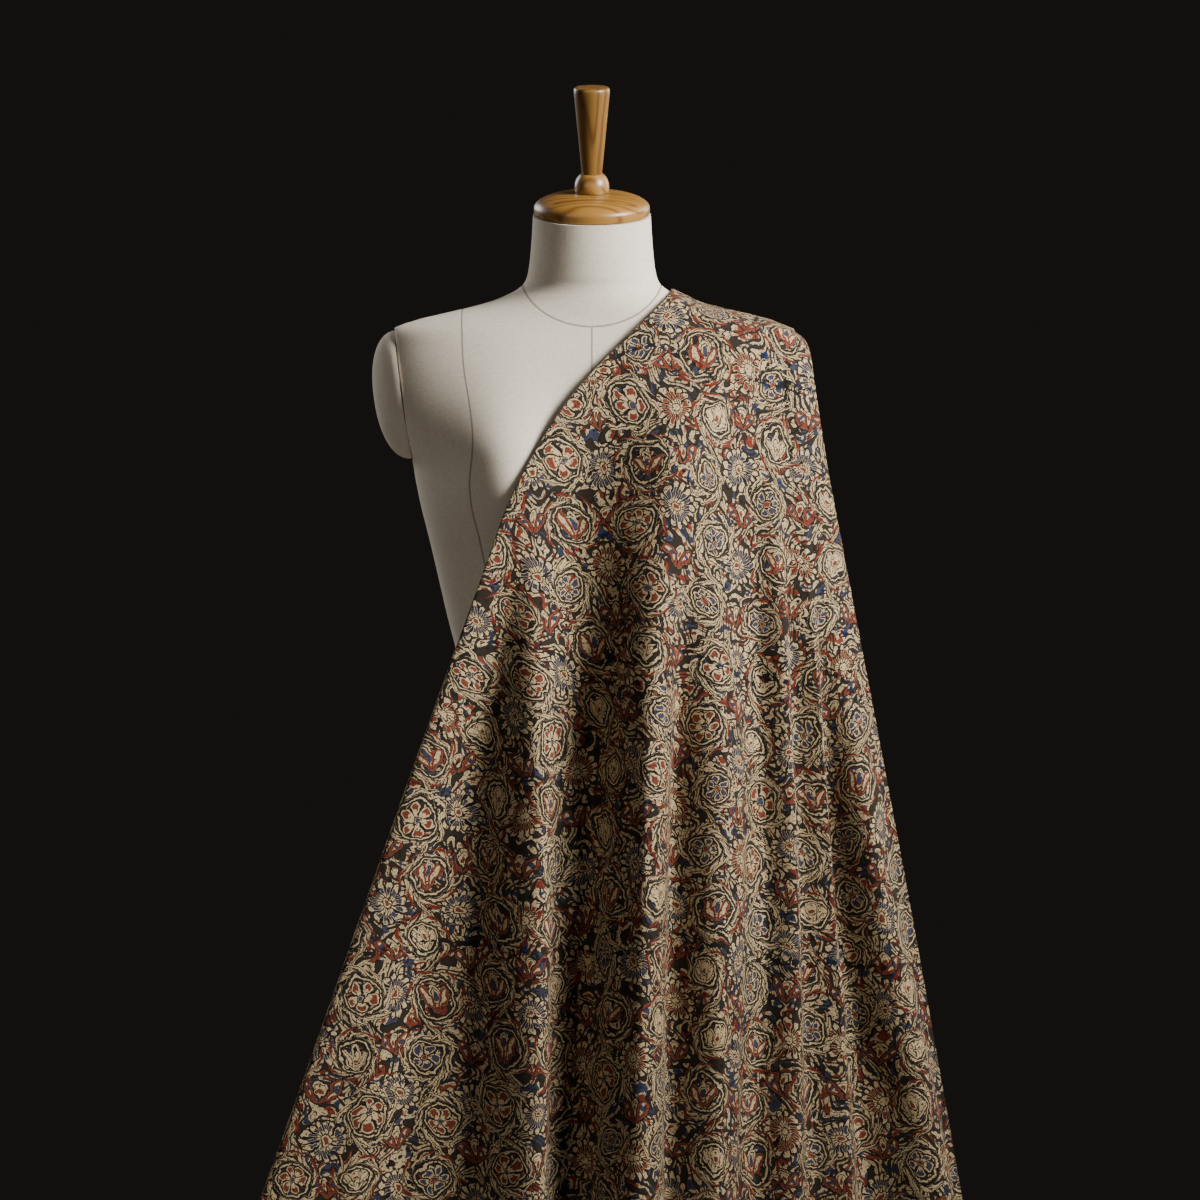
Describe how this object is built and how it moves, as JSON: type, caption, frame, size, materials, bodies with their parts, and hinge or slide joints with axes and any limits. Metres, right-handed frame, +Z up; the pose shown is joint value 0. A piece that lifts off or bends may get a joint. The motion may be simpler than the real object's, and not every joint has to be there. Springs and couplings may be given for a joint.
{
  "type": "kalamkari cotton fabric draped on a dress form",
  "caption": "Printed cotton length draped over one shoulder of a linen-covered dress form, turned under along the chest, with a wooden neck cap, pole and round base.",
  "frame": {"origin": "middle of the round base's underside, on the pole's axis", "axes": "+Z up; the form faces -Y; the covered shoulder is at +X"},
  "size_m": [0.9138, 0.4227, 1.5968],
  "materials": {
    "kalamkari_print": "matt plain-weave cotton, block print in cream, charcoal brown, rust red and indigo blue",
    "linen_cover": "matt fine linen",
    "turned_wood": "satin varnish",
    "board_wood": "plain plywood",
    "black_steel": "satin black"
  },
  "bodies": {
    "root": {"kalamkari_cloth": "kalamkari_print", "form_body": "linen_cover", "arm_cap_bare_side": "linen_cover", "arm_cap_cloth_side": "linen_cover", "neck_cap": "turned_wood", "cap_ball": "turned_wood", "cap_handle": "turned_wood", "underside_board": "board_wood", "pole_flange": "black_steel", "pole": "black_steel", "stand_base": "black_steel"}
  },
  "joints": []
}
